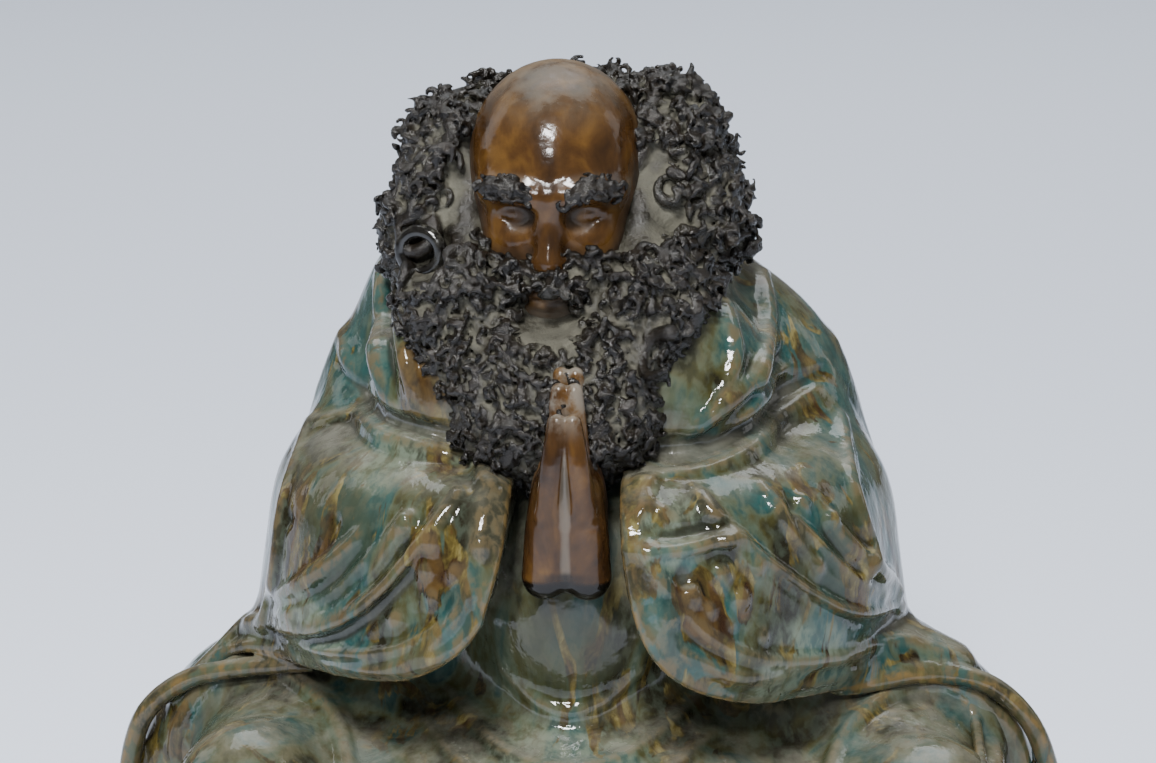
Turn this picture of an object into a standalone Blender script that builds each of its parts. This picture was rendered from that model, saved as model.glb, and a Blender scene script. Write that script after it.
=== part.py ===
"""Seated arhat: one hand-modelled, glazed and fired figure on a low base.

The figure is worked as clay is: masses are pressed together, folds are laid
on as rolls or scored as grooves, and the whole becomes one closed solid.
Points on the figure are (x, y, z) in hundredths of its height above the base,
+X to the viewer's right, -Y towards the viewer and +Z up, with the origin
over the middle of the base. Sizes that stand by themselves are in metres.
"""

import math

import bmesh
import bpy
import numpy as np
import openvdb

HEIGHT = 0.264
BASE_THICKNESS = 0.006
BASE_INSET = 0.0035
RING_DIAMETER = 0.0165
RING_ROD = 0.0043
SOLID_TRIANGLES = 9800

SHARE = (HEIGHT - BASE_THICKNESS) / 100
CELL = 0.55
FAR = 8.0
LOW = (-62, -50, -5)
HIGH = (62, 38, 104)
SIDES = (-1, 1)

# Where the parts of the figure are
HEAD = (-2.4, -12, 86.1)
HEAD_SIZE = 0.87
HEAD_BOW = 14.0
SHOULDER_SHIFT = -0.8
HANDS = 0.3
RING = (-16.8, -15.5, 78.5)
KNEES = (-36.5, 41.0)
KNEE_HEIGHT = 14.5

# The trunk: height, half width, front and back
TRUNK = (
    (-5, 43, -20, 31), (8, 43, -22, 31), (18, 40, -22, 30), (28, 36, -20, 28.5), (38, 33.5, -17, 26.5),
    (50, 31, -14, 24), (60, 27, -13, 21), (68, 22.5, -12, 17), (74, 16, -10, 13), (78, 10, -8, 10),
)

# The outer robe: its thickness, and how far back its parting in front goes
MANTLE = 2.4
MANTLE_BACK = -9.0

# The upper arm under the robe, and the way of the forearm seen from above
UPPER_ARM = ((14.5, 4, 68, 8.6), (21, 3, 61.5, 9), (24, 1, 54, 8.8), (25.5, -1, 48, 8.8), (26, -5, 45, 8.5))
FOREARM = ((28, -6), (25.5, -17), (17, -25.5), (9.5, -29))

# The sleeve hangs from the forearm as rolls one under the other: height, rod and spread
SLEEVE = ((48.8, 7.0, 1.0), (44, 7.0, 1.02), (39, 7.0, 1.04), (35, 6.8, 1.05))
SLEEVE_SIDE = ((27.5, -3, 44, 8.5), (29.5, -5, 36, 8), (34, -7, 22, 8.5))
COLLAR = ((15, -9, 73, 2.2), (15.5, 3, 77, 2.2), (8.5, 12, 79.5, 2.2), (0, 14, 80, 2.2))

# The edge of the parting on each side, from the wrist down over the knee: (across, up)
HEMS = (
    (
        (-5.6, 62), (-5.8, 56), (-6.2, 51), (-7.2, 46), (-9, 41), (-12, 37), (-17, 33.5), (-24, 31.5),
        (-33, 29.5), (-41, 27.5), (-46, 20), (-47, -9),
    ),
    (
        (5.6, 62), (5.8, 57), (6.4, 50), (7.4, 44), (9.5, 38.5), (13.5, 34), (19, 31), (25, 29),
        (33, 28), (41, 28), (47, 21), (48, -9),
    ),
)

# Beyond the sleeves the hem runs on round the spread of the robe behind each knee
LOBE_HEMS = (
    (
        (-32, -17, 28, 1.4), (-40, -14, 26.6, 1.7), (-47, -13, 24.8, 1.8), (-52.3, -13, 20.5, 1.8),
        (-54.8, -12, 13.5, 1.8), (-55, -11, 7, 1.8), (-54, -10, 3, 1.8),
    ),
    (
        (33, -18, 27.5, 1.4), (41, -15, 28.2, 1.7), (48.5, -14, 27, 1.8), (54, -14, 22, 1.8),
        (56.8, -13, 14, 1.8), (57, -12, 7, 1.8), (56, -11, 3, 1.8),
    ),
)

# How the cloth of that spread goes back from its hem: back, drawn in, rod
LOBE_SKIN = ((4.5, 4.2, 4.5), (10, 7, 5.5), (17, 12, 7), (24, 18, 8))
LOBE_FALL = 0.8

# Folds are ((across, up) points, rod, proud); a negative proud is a groove
SLEEVE_FOLDS = (
    (
        (((13, 53), (16, 46), (22, 39), (31, 34.5), (40, 31.5)), 1.6, 0.9),
        (((18.5, 50), (22.5, 45), (28, 39.5), (37, 34)), 1.6, 0.9),
        (((24, 48), (29, 43), (35, 37)), 1.5, 0.8),
        (((10, 44), (15, 38.5), (22, 35), (32, 33)), 1.2, 0.7),
        (((31, 62), (24, 59), (15, 57.5), (8, 57)), 1.6, -0.7),
        (((25, 76), (23.5, 69), (22, 63)), 1.5, 0.8),
        (((20.5, 75), (19, 69), (17.5, 62)), 1.3, 0.9),
        (((33, 56), (34, 48), (35, 40), (38, 32)), 1.5, 0.7),
    ),
    (
        (((13.5, 54.5), (20, 47.5), (30, 39), (40, 34), (46, 31.5)), 1.6, 1.0),
        (((20, 54), (27, 46.5), (34, 39.5), (43, 33.5)), 1.6, 0.9),
        (((10, 48), (14.5, 41.5), (21, 36), (31, 33), (40, 32)), 1.4, 0.8),
        (((28, 52), (31.5, 46.5), (36, 40)), 1.5, 0.8),
        (((6.5, 49.5), (13, 49), (19, 50.5)), 0.9, 0.7),
        (((29, 60), (21.5, 58.5), (13, 57), (8, 57)), 1.6, -0.7),
        (((22, 66), (17, 62.5), (14, 59)), 1.2, 0.9),
        (((21, 75), (22, 69), (21, 63)), 1.4, 0.8),
        (((31, 57), (33, 49), (36, 41), (41, 33)), 1.5, 0.7),
    ),
)
CHEST_FOLDS = (
    (((16.5, 75), (15, 67), (11.5, 60.5), (6.5, 57)), 1.5, 1.1),
    (((19, 74), (18, 66), (15.5, 60)), 1.2, 0.8),
)

# Rings of cloth round each knee: reach, rod, proud, and the degrees from and to
KNEE_FOLDS = ((12.5, 1.5, 1.3, -20, 175), (6.0, 1.2, 0.5, 10, 200))

# Swags across the lap: height at their ends, half width and drop
LAP_FOLDS = ((31, 8, 4), (26.5, 15, 4.5), (21.5, 19, 5), (15.5, 24, 5), (9, 30, 4.5))
LAP_ROD = 1.3

# Folds down the back, as seen from behind: across at the top, across at the ground, and bow
BACK_FOLDS = ((-16, -36, -4), (-9, -21, -3), (-3, -5, 2), (5, 12, 2), (11, 27, 4), (17, 38, 3))
BACK_FOLD_TOP = 72
BACK_FOLD_FOOT = 6

# Folds down each flank: distance back from the middle, and rod
FLANK_FOLDS = ((6, 2.2), (15, 2.6), (23, 2.2))

# Curls of the hair and of the brows: spacing, size and rod
HAIR_CURL = (2.9, 1.7, 0.9)
BROW_CURL = (2.2, 1.0, 0.55)


def smooth_min(a, b, soft):
    """The union of two fields, with a fillet about soft wide where they meet."""
    if soft <= 0:
        return np.minimum(a, b)
    mix = np.clip(0.5 + 0.5 * (b - a) / soft, 0, 1)
    return b + (a - b) * mix - soft * mix * (1 - mix)


def smooth_cut(a, b, soft):
    """Field a with b taken away."""
    return -smooth_min(-a, b, soft)


def ramp(value, low, high):
    """Rises smoothly from 0 at low to 1 at high."""
    t = np.clip((value - low) / (high - low), 0, 1)
    return t * t * (3 - 2 * t)


def curve_through(points, steps=5):
    """A smooth curve through points of any number of coordinates."""
    p = np.array(points, float)
    if len(p) < 3:
        return p
    ends = np.vstack([2 * p[0] - p[1], p, 2 * p[-1] - p[-2]])
    t = np.linspace(0, 1, steps, endpoint=False)[:, None]
    runs = []
    for a, b, c, d in zip(ends, ends[1:], ends[2:], ends[3:]):
        cubic = (2 * a - 5 * b + 4 * c - d) * t**2 + (3 * b - a - 3 * c + d) * t**3
        runs.append(0.5 * (2 * b + (c - a) * t + cubic))
    return np.vstack([*runs, p[-1:]])


def mirrored(points, side):
    """The points with their x on the given side."""
    return [(side * x, *rest) for x, *rest in points]


class Ball:
    """An ellipsoid, turned by tilt degrees about X."""

    def __init__(self, centre, radii, tilt=0.0):
        self.centre, self.radii = np.array(centre, float), np.array(radii, float)
        a = math.radians(tilt)
        self.turn = np.array([[1, 0, 0], [0, math.cos(a), -math.sin(a)], [0, math.sin(a), math.cos(a)]])
        reach = np.sqrt((self.turn**2) @ (self.radii**2))
        self.low, self.high = self.centre - reach, self.centre + reach

    def distance(self, x, y, z):
        x, y, z = x - self.centre[0], y - self.centre[1], z - self.centre[2]
        own = [x * self.turn[0, i] + y * self.turn[1, i] + z * self.turn[2, i] for i in range(3)]
        near = np.sqrt(sum((c / r) ** 2 for c, r in zip(own, self.radii)))
        steep = np.sqrt(sum((c / r**2) ** 2 for c, r in zip(own, self.radii)))
        return near * (near - 1) / np.maximum(steep, 1e-6)


class Roll:
    """A rolled length of clay along points of (x, y, z, rod), where rod is its radius."""

    def __init__(self, points, steps=5):
        self.path = curve_through(points, steps)
        rod = self.path[:, 3:]
        self.low = (self.path[:, :3] - rod).min(0)
        self.high = (self.path[:, :3] + rod).max(0)

    def distance(self, x, y, z):
        nearest = np.float32(FAR)
        for a, b in zip(self.path, self.path[1:]):
            way = b - a
            along = (x - a[0]) * way[0] + (y - a[1]) * way[1] + (z - a[2]) * way[2]
            along = np.clip(along / max(way[:3] @ way[:3], 1e-9), 0, 1)
            off = [c - a[i] - along * way[i] for i, c in enumerate((x, y, z))]
            gap = np.sqrt(off[0] ** 2 + off[1] ** 2 + off[2] ** 2) - a[3] - along * way[3]
            nearest = np.minimum(nearest, gap)
        return nearest


class Loft:
    """Stacked ellipses, each given by its height, half width, front y and back y."""

    def __init__(self, rings):
        self.rings = curve_through(rings)
        z, wide, front, back = self.rings.T
        self.low = np.array([-wide.max(), front.min(), z[0]])
        self.high = np.array([wide.max(), back.max(), z[-1]])

    def distance(self, x, y, z):
        levels, *columns = self.rings.T
        wide, front, back = [np.interp(z, levels, column) for column in columns]
        deep = (back - front) / 2
        y = y - (front + back) / 2
        near = np.sqrt((x / wide) ** 2 + (y / deep) ** 2)
        steep = np.sqrt((x / wide**2) ** 2 + (y / deep**2) ** 2)
        side = near * (near - 1) / np.maximum(steep, 1e-6)
        return np.maximum(side, np.maximum(levels[0] - z, z - levels[-1]))


class FrontOutline:
    """Everything in front of back whose (x, z) lies inside the outline."""

    def __init__(self, outline, back):
        self.outline, self.back = np.array(outline, float), back
        low, high = self.outline.min(0), self.outline.max(0)
        self.low = np.array([low[0], LOW[1], low[1]])
        self.high = np.array([high[0], back, high[1]])

    def distance(self, x, y, z):
        nearest, inside = np.float32(np.inf), False
        for a, b in zip(self.outline, np.roll(self.outline, -1, 0)):
            way = b - a
            along = np.clip(((x - a[0]) * way[0] + (z - a[1]) * way[1]) / (way @ way), 0, 1)
            nearest = np.minimum(nearest, np.hypot(x - a[0] - along * way[0], z - a[1] - along * way[1]))
            if a[1] != b[1]:
                level = (z > min(a[1], b[1])) & (z <= max(a[1], b[1]))
                inside = inside ^ (level & (x < a[0] + (z - a[1]) * way[0] / way[1]))
        return np.maximum(np.where(inside, -nearest, nearest), y - self.back)


class Clay:
    """A block of clay: a grid of distances to its surface, negative inside."""

    def __init__(self, low, high, cell):
        self.cell = cell
        self.axes = [np.arange(a, b + cell, cell).astype(np.float32) for a, b in zip(low, high)]
        self.field = np.full([len(a) for a in self.axes], FAR, np.float32)

    def window(self, low, high):
        """The cells between two corners, and their coordinates."""
        spans = [np.searchsorted(axis, ends) for axis, *ends in zip(self.axes, low, high)]
        cuts = tuple(slice(*span) for span in spans)
        return cuts, np.ix_(*[axis[cut] for axis, cut in zip(self.axes, cuts)])

    def work(self, shape, soft, how):
        reach = max(soft, 2.0) + 2 * self.cell
        cuts, grid = self.window(shape.low - reach, shape.high + reach)
        if self.field[cuts].size:
            self.field[cuts] = np.minimum(how(self.field[cuts], shape.distance(*grid), soft), FAR)

    def add(self, shape, soft=0.0):
        self.work(shape, soft, smooth_min)

    def cut(self, shape, soft=0.0):
        self.work(shape, soft, smooth_cut)

    def join(self, other, soft):
        """Presses another block, which may be of finer clay, onto this one."""
        cuts, grid = self.window([a[0] for a in other.axes], [a[-1] for a in other.axes])
        field = other.field
        for axis in range(3):
            at = (grid[axis] - other.axes[axis][0]) / other.cell
            low = np.minimum(at.astype(int), field.shape[axis] - 2)
            part = (at - low).astype(np.float32)
            near, far = np.take(field, low.ravel(), axis), np.take(field, low.ravel() + 1, axis)
            field = near + (far - near) * part
        self.field[cuts] = smooth_min(self.field[cuts], field, soft)

    def sample(self, points):
        """The field at points, read between the cells."""
        at = [(points[:, i] - self.axes[i][0]) / self.cell for i in range(3)]
        at = [np.clip(c, 0, n - 1.001) for c, n in zip(at, self.field.shape)]
        low = [c.astype(int) for c in at]
        total = 0
        for corner in np.ndindex(2, 2, 2):
            share = 1
            for step, c, i in zip(corner, at, low):
                share = share * (c - i if step else 1 - c + i)
            total = total + share * self.field[tuple(i + step for i, step in zip(low, corner))]
        return total

    def slope(self, points):
        """The outward direction of the surface at points."""
        steps = self.cell * np.eye(3)
        rise = np.stack([self.sample(points + s) - self.sample(points - s) for s in steps], 1)
        return rise / np.maximum(np.linalg.norm(rise, axis=1, keepdims=True), 1e-9)

    def settle(self, points, azimuth=0.0):
        """Where level sight lines at (across, up), as seen from that azimuth, meet the clay."""
        a = math.radians(azimuth)
        across = np.array([math.cos(a), math.sin(a), 0])
        inward = np.array([-math.sin(a), math.cos(a), 0])
        steps = np.arange(-HIGH[0], HIGH[0], 0.5 * self.cell)[:, None] * inward
        met = []
        for s, z in points:
            line = across * s + np.array([0, 0, z]) + steps
            inside = np.flatnonzero(self.sample(line) < 0)
            if len(inside):
                met.append(line[inside[0]])
        return np.array(met)

    def fold(self, points, rod, proud, soft, azimuth=0.0):
        """Lays a tapered roll on the surface, standing that much proud of it, or scores a groove."""
        met = self.settle(curve_through(points, 6), azimuth)
        swell = np.sin(np.pi * np.linspace(0.12, 0.88, len(met)))
        rods = rod * (0.45 + 0.55 * swell)
        sink = (rods - abs(proud) * swell)[:, None] * self.slope(met)
        if proud > 0:
            self.add(Roll(np.column_stack([met - sink, rods]), 1), soft)
        else:
            self.cut(Roll(np.column_stack([met + sink, rods]), 1), soft)

    def places(self, gap, seed):
        """Places on the surface spaced at least gap apart, in a seeded random order."""
        near = np.argwhere(np.abs(self.field) < 0.5 * self.cell)
        points = near * self.cell + np.array([a[0] for a in self.axes])
        points = points[np.random.default_rng(seed).permutation(len(points))]
        chosen = []
        while len(points):
            chosen.append(points[0])
            points = points[((points - points[0]) ** 2).sum(1) > gap * gap]
        return np.array(chosen)

    def mesh(self, name):
        """The surface as a mesh in metres, standing on z = 0."""
        grid = openvdb.FloatGrid(FAR)
        grid.copyFromArray(np.ascontiguousarray(self.field))
        points, quads = grid.convertToQuads(0.0)
        points = (points * self.cell + np.array([a[0] for a in self.axes])) * SHARE
        points[:, 2] += BASE_THICKNESS
        points[points[:, 2] < 0.2 * self.cell * SHARE, 2] = 0
        mesh = bpy.data.meshes.new(name)
        mesh.from_pydata(points.tolist(), [], quads.tolist())
        return mesh


# The robed body


def model_body():
    """Trunk, lap and crossed legs."""
    clay = Clay(LOW, HIGH, CELL)
    clay.add(Loft(TRUNK))
    clay.add(Ball((0, -10, 38), (14, 19, 20)), 6)
    for side, knee, hem in zip(SIDES, KNEES, LOBE_HEMS):
        clay.add(Ball((side * 12 + SHOULDER_SHIFT, -14, 62), (9, 9, 11)), 5)
        clay.add(Ball((side * 38, -2, 12), (13, 13, 13)), 4)
        for back, drawn_in, rod in LOBE_SKIN:
            skin = [(x - side * drawn_in, y + back, z - LOBE_FALL * drawn_in, rod) for x, y, z, _ in hem]
            clay.add(Roll(skin, 3), 3)
        thigh = [(side * 12, 8, 11, 13), (side * 27, -8, 12, 13), (0.93 * knee, -19, 12, 13)]
        shin = [(0.9 * knee, -26, 9, 11), (side * 20, -30, 8, 11), (0, -31, 8, 10)]
        clay.add(Roll(thigh), 5)
        clay.add(Roll(shin), 5)
        clay.add(Ball((knee, -28, KNEE_HEIGHT), (10, 9.5, 10.5)), 1.5)
    clay.add(Ball((0, -16, 15), (30, 20, 12)), 6)
    clay.add(Ball((0, -12, 4), (38, 22, 10)), 4)
    return clay


def lay_body_folds(clay):
    for side in SIDES:
        for points, rod, proud in CHEST_FOLDS:
            clay.fold(mirrored(points, side), rod, proud, 0.7)
    for side, knee in zip(SIDES, KNEES):
        for reach, rod, proud, begin, end in KNEE_FOLDS:
            turn = np.radians(np.linspace(begin, end, 7))
            ring = np.column_stack([knee + side * reach * np.cos(turn), KNEE_HEIGHT + reach * np.sin(turn)])
            clay.fold(ring, rod, proud, 0.8)
    for height, wide, drop in LAP_FOLDS:
        across = wide * np.linspace(-1, 1, 5)
        swag = np.column_stack([across, height - drop * np.cos(0.5 * np.pi * across / wide)])
        clay.fold(swag, LAP_ROD, 0.8, 0.8)


def hem_line(side, hem, out):
    """The edge of the parting, moved out onto the cloth by that much."""
    edge = curve_through(hem, 4)
    way = np.gradient(edge, axis=0)
    way /= np.linalg.norm(way, axis=1, keepdims=True)
    return edge + out * side * np.column_stack([-way[:, 1], way[:, 0]])


def model_mantle(body):
    """The outer robe: a layer over the body, with its sleeves, collar and rolled hem."""
    clay = Clay(LOW, HIGH, CELL)
    y, z = clay.axes[1][None, :, None], clay.axes[2][None, None, :]
    layer = np.maximum(ramp(y, MANTLE_BACK, MANTLE_BACK + 12), ramp(z, 26, 31))
    clay.field = body.field - MANTLE * layer
    for side in SIDES:
        shoulder = (side * UPPER_ARM[0][0] + 2 * SHOULDER_SHIFT, *UPPER_ARM[0][1:])
        clay.add(Roll([shoulder, *mirrored(UPPER_ARM[1:], side)]), 4)
        for height, rod, spread in SLEEVE:
            clay.add(Roll([(side * x * spread, y * spread, height, rod) for x, y in FOREARM]), 5)
        clay.add(Roll(mirrored(SLEEVE_SIDE, side)), 5)
    clay.add(Ball((-18, 2, 69.5), (8, 10, 8.5)), 4)
    for side, hem, lobe_hem in zip(SIDES, HEMS, LOBE_HEMS):
        edge = hem_line(side, hem, 0)
        parting = np.vstack([edge, (0, edge[-1, 1]), (0, edge[0, 1])])
        clay.cut(FrontOutline(parting, MANTLE_BACK), 0.7)
        clay.fold(hem_line(side, hem, 1.0), 1.3, 0.7, 0.6)
        clay.add(Roll(lobe_hem), 0.8)
    clay.add(Roll([*mirrored(COLLAR, -1), *COLLAR[-2::-1]]), 2)
    return clay


def lay_mantle_folds(clay):
    for side, folds in zip(SIDES, SLEEVE_FOLDS):
        for points, rod, proud in folds:
            clay.fold(mirrored(points, side), rod, proud, 0.8)
        for back, rod in FLANK_FOLDS:
            points = [(side * part * back, z) for part, z in ((0.35, 64), (0.7, 44), (0.9, 26), (1, 8))]
            clay.fold(points, rod, 0.9, 1.8, 90 * side)
    for top, foot, bow in BACK_FOLDS:
        t = np.linspace(0, 1, 5)
        across = top + (foot - top) * t + bow * np.sin(np.pi * t)
        up = BACK_FOLD_TOP + (BACK_FOLD_FOOT - BACK_FOLD_TOP) * t
        clay.fold(np.column_stack([across, up]), 2.4, 0.9, 2.0, 180)


# The head, set out from its middle in shares of its own: across, forward and up


def head_point(across, forward, up):
    a = math.radians(HEAD_BOW)
    y = -forward * math.cos(a) - up * math.sin(a)
    z = -forward * math.sin(a) + up * math.cos(a)
    return np.array(HEAD) + HEAD_SIZE * np.array([across, y, z])


def head_ball(across, forward, up, wide, deep, tall):
    return Ball(head_point(across, forward, up), HEAD_SIZE * np.array([wide, deep, tall]), HEAD_BOW)


def head_roll(*points):
    return Roll([(*head_point(across, forward, up), HEAD_SIZE * rod) for across, forward, up, rod in points])


def model_head():
    """The skull and a calm, even face with closed eyes: eyes halfway up, nose and mouth by thirds."""
    clay = Clay((-22, -38, 55), (20, 14, 104), 0.6 * CELL)
    clay.add(head_ball(0, -1.5, 3.2, 11.6, 13.6, 12.4))
    clay.add(head_ball(0, 4.6, -4.5, 8.8, 8.2, 11.5), 5)
    clay.add(head_roll((-3.0, 11.6, 2.9, 1.2), (0, 12.1, 2.6, 1.0), (3.0, 11.6, 2.9, 1.2)), 2)
    for side in SIDES:
        clay.add(head_ball(side * 4.9, 9.0, -4.8, 3.2, 3.2, 3.0), 3)
        brow_bone = [(2.0, 11.9, 3.0, 1.2), (5.0, 11.4, 3.7, 1.4), (8.6, 8.4, 2.6, 1.0)]
        clay.add(head_roll(*mirrored(brow_bone, side)), 2)
        clay.cut(head_ball(side * 4.5, 12.9, 0.2, 2.7, 2.0, 1.7), 1.6)
        clay.add(head_ball(side * 4.5, 9.9, 0.0, 2.25, 1.7, 1.75), 0.5)
        clay.add(head_ball(side * 1.55, 13.6, -5.7, 1.0, 1.3, 0.9), 0.7)
    clay.add(head_roll((0, 11.4, 2.0, 1.0), (0, 13.6, -1.5, 1.1), (0, 15.2, -5.0, 1.45)), 1.2)
    clay.add(head_ball(0, 11.4, -10.8, 6.2, 4.4, 4.4), 2)
    clay.add(head_ball(0, 15.3, -9.2, 2.9, 0.9, 0.8), 0.5)
    clay.add(head_ball(0, 15.2, -10.6, 2.5, 1.0, 0.9), 0.5)
    clay.add(Roll([(HEAD[0], -4, 66, 8), (HEAD[0], -6, 80, 7.5)]), 3)
    return clay


def model_hair():
    """The side hair, the beard and the moustache before they are curled."""
    clay = Clay((-28, -44, 48), (26, 22, 102), 0.6 * CELL)
    middle = HEAD[0]
    clay.add(Ball((-13.7, -6.5, 87), (4.3, 8.5, 6.0)))
    clay.add(Ball((-15.6, -8.5, 81), (4.8, 8.5, 6.5)), 3)
    clay.add(Ball((9.6, -6, 89.5), (4.8, 8.5, 6.2)))
    clay.add(Ball((11.8, -8, 82.5), (5.4, 8.5, 7.2)), 3)
    for side in SIDES:
        clay.add(Ball((middle + side * 11, -17, 74), (6, 8, 7)), 3)
        clay.add(Ball((middle + side * 9.8, -11, 81), (3.2, 7.5, 7)), 3)
    clay.add(Ball((middle, 3, 84), (13, 7, 10)), 3)
    clay.add(Ball((middle, -18.7, 67.5), (13.5, 9.5, 8)), 4)
    clay.add(Ball((middle + 1, -24.5, 62), (10, 7, 7)), 4)
    for side in SIDES:
        wing = [(0.4, 15.2, -7.2, 1.0), (4, 14.4, -7.6, 1.7), (7.4, 12, -10.5, 2.1), (8.5, 11.5, -15, 2.6)]
        clay.add(head_roll(*mirrored(wing, side)), 1.2)
    clay.cut(head_ball(0, 18, -11.4, 5.4, 6, 3.4), 0.8)
    return clay


def model_brows():
    clay = Clay((-16, -36, 80), (12, -14, 98), 0.6 * CELL)
    for side in SIDES:
        brow = [(2.6, 12.9, 3.4, 1.0), (5.0, 12.6, 4.4, 1.4), (8.0, 10.2, 3.6, 1.1)]
        clay.add(head_roll(*mirrored(brow, side)))
    return clay


def curl(place, outward, heading, size, rod, turn):
    """A lock that lies on the surface, bends round through turn degrees and thins to its tip."""
    ahead = np.cross(outward, (math.cos(heading), math.sin(heading), 0.3))
    ahead /= np.linalg.norm(ahead)
    aside = np.cross(outward, ahead)
    t = np.linspace(0, 1, 5)[:, None]
    a = np.radians(turn) * t
    swing = (np.sin(a) - 0.6) * ahead + (1 - np.cos(a)) * aside + 0.25 * np.sin(np.pi * t) * outward
    return Roll(np.hstack([place + size * swing, rod * (1 - 0.55 * t)]), 2)


def curl_hair(clay, measure, seed, bare):
    """Covers the clay with curls, save where a place is bare."""
    gap, size, rod = measure
    chance = np.random.default_rng(seed)
    places = clay.places(gap, seed)
    places = places[~bare(places)]
    for place, outward in zip(places, clay.slope(places)):
        heading = chance.uniform(0, 2 * math.pi)
        scale = chance.uniform(0.75, 1.2)
        turn = chance.uniform(150, 290) * chance.choice(SIDES)
        clay.add(curl(place, outward, heading, size * scale, rod * scale, turn), 0.15)


# The hands, the ring and the base


def model_hands():
    """Palms pressed together, fingers up, with the edges of the hands to the front."""
    clay = Clay((-12, -46, 36), (12, -18, 72), 0.4 * CELL)
    for side in SIDES:
        palm = [(2.6, -33.5, 45.3, 2.7), (2.3, -34, 51, 2.5), (1.7, -34.3, 57, 1.8)]
        clay.add(Roll([(HANDS + side * x, y, z, rod) for x, y, z, rod in palm]), 0.8)
        clay.add(Ball((HANDS + side * 2.2, -31, 51), (2.3, 5, 7.5)), 1.0)
        for n, tip in enumerate((63.5, 66.4, 67.6, 66.4)):
            y = -36 + 2.5 * n
            finger = [(2.2, y + 0.6, 53, 1.5), (1.6, y, 59, 1.35), (0.95, y + 0.5, tip, 0.95)]
            clay.add(Roll([(HANDS + side * x, y, z, rod) for x, y, z, rod in finger]), 0.3)
    return clay


def model_ring():
    """The hoop at one ear, of the same clay, its lower side sunk in the beard."""
    clay = Clay((-26, -28, 68), (-8, -4, 88), 0.5 * CELL)
    radius = (RING_DIAMETER - RING_ROD) / 2 / SHARE
    a = np.linspace(0, 2 * math.pi, 25)[:, None]
    hoop = np.array(RING) + radius * np.hstack([np.cos(a), -0.35 * np.cos(a), np.sin(a)])
    clay.add(Roll(np.hstack([hoop, np.full_like(a, RING_ROD / 2 / SHARE)]), 1))
    return clay


def stand_on_base(clay):
    """Ends the figure at z = 0, on a bare foot of its own outline, drawn in a little."""
    z = clay.axes[2][None, None, :]
    level = np.searchsorted(clay.axes[2], 0.8)
    foot = np.maximum(clay.field[:, :, level : level + 1] + BASE_INSET / SHARE, z - 0.5)
    whole = np.minimum(np.maximum(clay.field, -z), foot)
    clay.field = np.maximum(whole, -BASE_THICKNESS / SHARE - z)


def model_figure():
    clay = model_body()
    mantle = model_mantle(clay)
    lay_body_folds(clay)
    lay_mantle_folds(mantle)
    clay.field = smooth_min(clay.field, mantle.field, 0.5)
    stand_on_base(clay)
    head, hair, brows = model_head(), model_hair(), model_brows()
    mouth = head_ball(0, 16, -11.6, 5.6, 10, 3.6)
    curl_hair(hair, HAIR_CURL, 4, lambda p: (head.sample(p) < -1.0) | (mouth.distance(*p.T) < 1.5))
    curl_hair(brows, BROW_CURL, 5, lambda p: head.sample(p) < -0.5)
    for other, soft in ((head, 0.5), (hair, 0.3), (brows, 0.2), (model_ring(), 0.1), (model_hands(), 0.4)):
        clay.join(other, soft)
    return clay


def keep_largest_shell(mesh):
    """Drops crumbs and sealed bubbles, so that one closed surface is left."""
    work = bmesh.new()
    work.from_mesh(mesh)
    shells, seen = [], set()
    for first in work.faces:
        if first in seen:
            continue
        seen.add(first)
        shell, front = [first], [first]
        while front:
            for edge in front.pop().edges:
                fresh = [face for face in edge.link_faces if face not in seen]
                seen.update(fresh)
                shell.extend(fresh)
                front.extend(fresh)
        shells.append(shell)
    shells.sort(key=len)
    for shell in shells[:-1]:
        bmesh.ops.delete(work, geom=shell, context="FACES")
    work.to_mesh(mesh)
    work.free()


def make_glaze():
    glaze = bpy.data.materials.new("robe_glaze")
    glaze.use_nodes = True
    shader = glaze.node_tree.nodes["Principled BSDF"]
    shader.inputs["Base Color"].default_value = (0.09, 0.16, 0.14, 1)
    shader.inputs["Roughness"].default_value = 0.2
    return glaze


def main():
    for thing in list(bpy.data.objects):
        bpy.data.objects.remove(thing)
    parts = bpy.data.collections.new("seated_arhat")
    bpy.context.scene.collection.children.link(parts)
    statue = bpy.data.objects.new("statue", model_figure().mesh("statue"))
    parts.objects.link(statue)
    keep_largest_shell(statue.data)
    statue.data.materials.append(make_glaze())
    thin = statue.modifiers.new("thin", "DECIMATE")
    thin.ratio = SOLID_TRIANGLES / (2 * len(statue.data.polygons))


main()
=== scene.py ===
"""The finished look of the seated arhat: fine clay relief, glazes, dust, floor, light and camera.

The figure is modelled again from the same masses as its solid, in finer clay,
and parted by glaze. Points on it are (x, y, z) in hundredths of its height
above the base, and everything else is in metres.
"""

import math
from concurrent.futures import ThreadPoolExecutor

import bpy
import numpy as np
import openvdb
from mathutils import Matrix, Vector


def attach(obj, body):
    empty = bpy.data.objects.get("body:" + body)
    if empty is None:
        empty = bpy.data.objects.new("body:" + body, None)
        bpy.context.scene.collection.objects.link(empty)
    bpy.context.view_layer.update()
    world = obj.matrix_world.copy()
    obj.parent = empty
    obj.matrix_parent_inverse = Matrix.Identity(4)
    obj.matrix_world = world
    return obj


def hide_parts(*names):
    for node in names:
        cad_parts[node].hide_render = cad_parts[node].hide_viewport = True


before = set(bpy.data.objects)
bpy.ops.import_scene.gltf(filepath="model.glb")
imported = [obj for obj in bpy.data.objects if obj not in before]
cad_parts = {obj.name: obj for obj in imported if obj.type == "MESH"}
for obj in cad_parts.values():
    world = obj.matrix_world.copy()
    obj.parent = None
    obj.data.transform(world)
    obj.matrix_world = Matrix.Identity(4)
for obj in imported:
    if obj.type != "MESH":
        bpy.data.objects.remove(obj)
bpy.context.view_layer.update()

HEIGHT = 0.264
BASE_THICKNESS = 0.006
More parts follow.
